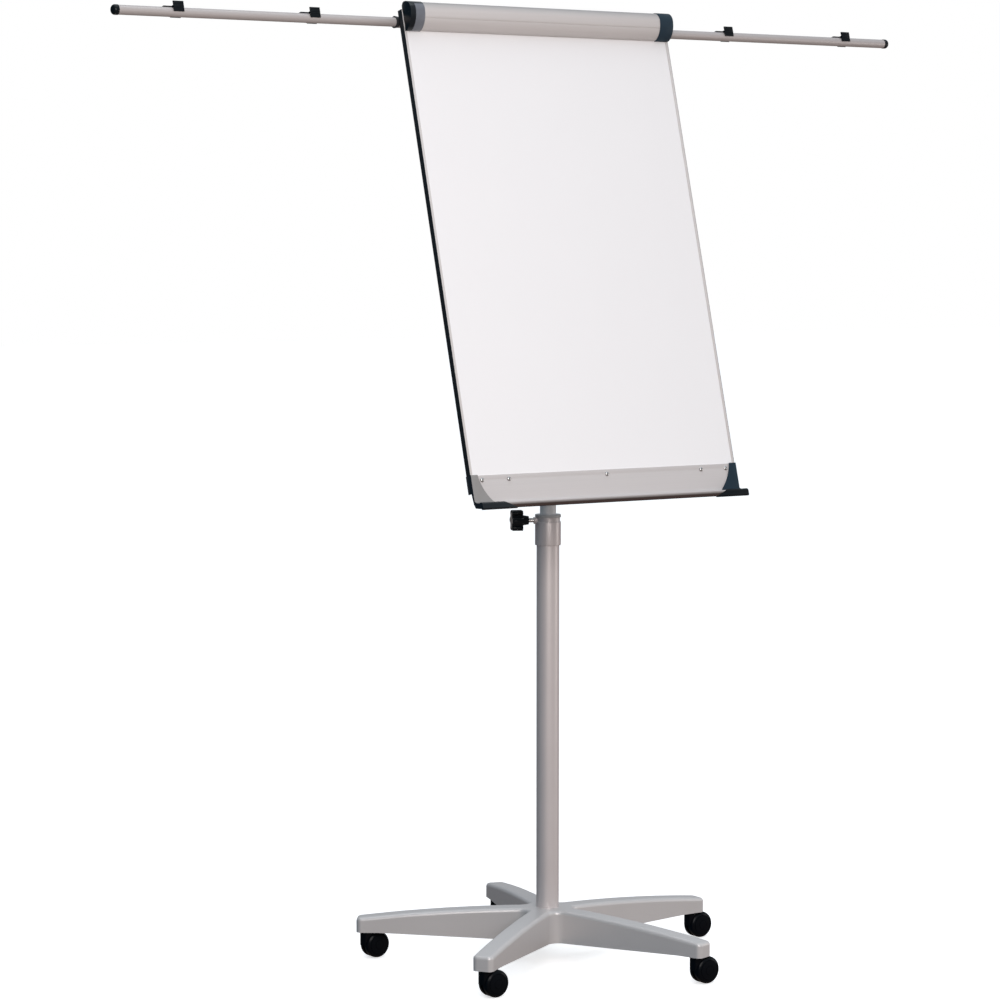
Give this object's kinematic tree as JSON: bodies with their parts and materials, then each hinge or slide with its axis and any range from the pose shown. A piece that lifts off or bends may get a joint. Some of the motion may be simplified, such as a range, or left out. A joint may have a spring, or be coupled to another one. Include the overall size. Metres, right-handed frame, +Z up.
{
  "type": "flipchart easel",
  "caption": "Mobile flipchart easel: tilting magnetic board on a telescopic mast and star base with castors, hinged paper clamp, pen tray and extending paper arms with clips.",
  "frame": {"origin": "on the floor under the mast's axis", "axes": "+X along the board's width to the viewer's right, the board faces -Y, +Z up"},
  "size_m": [2.053, 0.8148, 2.0966],
  "materials": {
    "base_paint": "light grey satin powder coat",
    "mast_paint": "light grey satin powder coat",
    "rail_metal": "satin light grey anodised",
    "steel": "bright plated steel",
    "brass": "plain",
    "black_plastic": "glossy black moulding",
    "bush_plastic": "grey moulding",
    "dark_bush": "dark moulding",
    "board_white": "white lacquered steel",
    "board_core": "honeycomb core",
    "back_steel": "plain galvanised sheet"
  },
  "bodies": {
    "base": {"star_base": "base_paint", "outer_mast": "mast_paint", "mast_collar": "mast_paint", "collar_bush": "bush_plastic", "base_bolt": "steel", "castor_sleeves": "steel", "castor_stems": "steel"},
    "clamp_screw_pad": {"pressure_pad": "brass"},
    "lock_knob": {"lock_knob": "black_plastic", "lock_stud": "steel"},
    "mast_guide": {"guide_plug": "bush_plastic"},
    "mast": {"inner_mast": "mast_paint", "mast_head": "base_paint"},
    "board": {"board_core": "board_core", "writing_surface": "board_white", "back_sheet": "back_steel", "frame_left": "rail_metal", "frame_right": "rail_metal", "pen_tray": "rail_metal", "tray_cap_left": "black_plastic", "tray_cap_right": "black_plastic", "tray_screws": "steel", "clamp_rail": "rail_metal", "clamp_pin": "steel", "board_bracket": "base_paint", "bracket_screws": "steel", "tilt_bolt": "steel", "tilt_nut": "steel", "arm_guide": "rail_metal", "arm_saddles": "base_paint", "arm_bushes": "dark_bush"},
    "tilt_lever": {"tilt_lever": "black_plastic"},
    "paper_clamp": {"clamp_bar": "rail_metal", "clamp_cap_left": "black_plastic", "clamp_cap_right": "black_plastic"},
    "hook_left": {"hook_left": "black_plastic"},
    "hook_right": {"hook_right": "black_plastic"},
    "arm_left": {"arm_left": "rail_metal", "arm_cap_left": "black_plastic"},
    "arm_right": {"arm_right": "rail_metal", "arm_cap_right": "black_plastic"},
    "clip_far_left": {"clip_far_left": "black_plastic"},
    "clip_near_left": {"clip_near_left": "black_plastic"},
    "clip_near_right": {"clip_near_right": "black_plastic"},
    "clip_far_right": {"clip_far_right": "black_plastic"},
    "castor_1": {"castor_1_hood": "black_plastic"},
    "castor_1_wheels": {"castor_1_wheels": "black_plastic", "castor_1_axle": "steel"},
    "castor_2": {"castor_2_hood": "black_plastic"},
    "castor_2_wheels": {"castor_2_wheels": "black_plastic", "castor_2_axle": "steel"},
    "castor_3": {"castor_3_hood": "black_plastic"},
    "castor_3_wheels": {"castor_3_wheels": "black_plastic", "castor_3_axle": "steel"},
    "castor_4": {"castor_4_hood": "black_plastic"},
    "castor_4_wheels": {"castor_4_wheels": "black_plastic", "castor_4_axle": "steel"},
    "castor_5": {"castor_5_hood": "black_plastic"},
    "castor_5_wheels": {"castor_5_wheels": "black_plastic", "castor_5_axle": "steel"}
  },
  "joints": [
    {"name": "knob_feed", "type": "slide", "parent": "base", "child": "clamp_screw_pad", "axis": [-0.9063, 0.4226, 0], "range_m": [0, 0.003]},
    {"name": "knob_turn", "type": "hinge", "parent": "clamp_screw_pad", "child": "lock_knob", "pos_m": [-0.05438, 0.02536, 0.978], "axis": [-0.9063, 0.4226, 0], "range_deg": [0, 720]},
    {"name": "mast_height", "type": "slide", "parent": "base", "child": "mast_guide", "axis": [0, 0, 1], "range_m": [-0.35, 0.05]},
    {"name": "mast_swivel", "type": "hinge", "parent": "mast_guide", "child": "mast", "pos_m": [0, 0, 0.75], "axis": [0, 0, 1], "continuous": true},
    {"name": "board_tilt", "type": "hinge", "parent": "mast", "child": "board", "pos_m": [0, 0, 1.4855], "axis": [-1, 0, 0], "range_deg": [-15, 60]},
    {"name": "tilt_lever_turn", "type": "hinge", "parent": "board", "child": "tilt_lever", "pos_m": [0.045, 0, 1.4855], "axis": [1, 0, 0], "range_deg": [0, 90]},
    {"name": "clamp_open", "type": "hinge", "parent": "board", "child": "paper_clamp", "pos_m": [0, 0.04054, 2.0869], "axis": [-1, 0, 0], "range_deg": [0, 70]},
    {"name": "hook_left_slide", "type": "slide", "parent": "board", "child": "hook_left", "axis": [-1, 0, 0], "range_m": [-0.09, 0.08]},
    {"name": "hook_right_slide", "type": "slide", "parent": "board", "child": "hook_right", "axis": [1, 0, 0], "range_m": [-0.09, 0.08]},
    {"name": "arm_left_slide", "type": "slide", "parent": "board", "child": "arm_left", "axis": [-1, 0, 0], "range_m": [-0.11, 0.06]},
    {"name": "arm_right_slide", "type": "slide", "parent": "board", "child": "arm_right", "axis": [1, 0, 0], "range_m": [-0.11, 0.06]},
    {"name": "clip_far_left_slide", "type": "slide", "parent": "arm_left", "child": "clip_far_left", "axis": [-1, 0, 0], "range_m": [-0.13, 0.09]},
    {"name": "clip_near_left_slide", "type": "slide", "parent": "arm_left", "child": "clip_near_left", "axis": [-1, 0, 0], "range_m": [-0.04, 0.13]},
    {"name": "clip_near_right_slide", "type": "slide", "parent": "arm_right", "child": "clip_near_right", "axis": [1, 0, 0], "range_m": [-0.04, 0.13]},
    {"name": "clip_far_right_slide", "type": "slide", "parent": "arm_right", "child": "clip_far_right", "axis": [1, 0, 0], "range_m": [-0.13, 0.09]},
    {"name": "castor_1_swivel", "type": "hinge", "parent": "base", "child": "castor_1", "pos_m": [0.401, 0, 0.06], "axis": [0, 0, 1], "continuous": true},
    {"name": "castor_1_roll", "type": "hinge", "parent": "castor_1", "child": "castor_1_wheels", "pos_m": [0.421, 0, 0.0295], "axis": [0, 1, 0], "continuous": true},
    {"name": "castor_2_swivel", "type": "hinge", "parent": "base", "child": "castor_2", "pos_m": [0.12392, 0.38137, 0.06], "axis": [0, 0, 1], "continuous": true},
    {"name": "castor_2_roll", "type": "hinge", "parent": "castor_2", "child": "castor_2_wheels", "pos_m": [0.14392, 0.38137, 0.0295], "axis": [0, 1, 0], "continuous": true},
    {"name": "castor_3_swivel", "type": "hinge", "parent": "base", "child": "castor_3", "pos_m": [-0.32442, 0.2357, 0.06], "axis": [0, 0, 1], "continuous": true},
    {"name": "castor_3_roll", "type": "hinge", "parent": "castor_3", "child": "castor_3_wheels", "pos_m": [-0.30442, 0.2357, 0.0295], "axis": [0, 1, 0], "continuous": true},
    {"name": "castor_4_swivel", "type": "hinge", "parent": "base", "child": "castor_4", "pos_m": [-0.32442, -0.2357, 0.06], "axis": [0, 0, 1], "continuous": true},
    {"name": "castor_4_roll", "type": "hinge", "parent": "castor_4", "child": "castor_4_wheels", "pos_m": [-0.30442, -0.2357, 0.0295], "axis": [0, 1, 0], "continuous": true},
    {"name": "castor_5_swivel", "type": "hinge", "parent": "base", "child": "castor_5", "pos_m": [0.12392, -0.38137, 0.06], "axis": [0, 0, 1], "continuous": true},
    {"name": "castor_5_roll", "type": "hinge", "parent": "castor_5", "child": "castor_5_wheels", "pos_m": [0.14392, -0.38137, 0.0295], "axis": [0, 1, 0], "continuous": true}
  ],
  "couplings": [
    {"joint": "knob_feed", "follows": "knob_turn", "m_per_rad": 0.00023714}
  ]
}
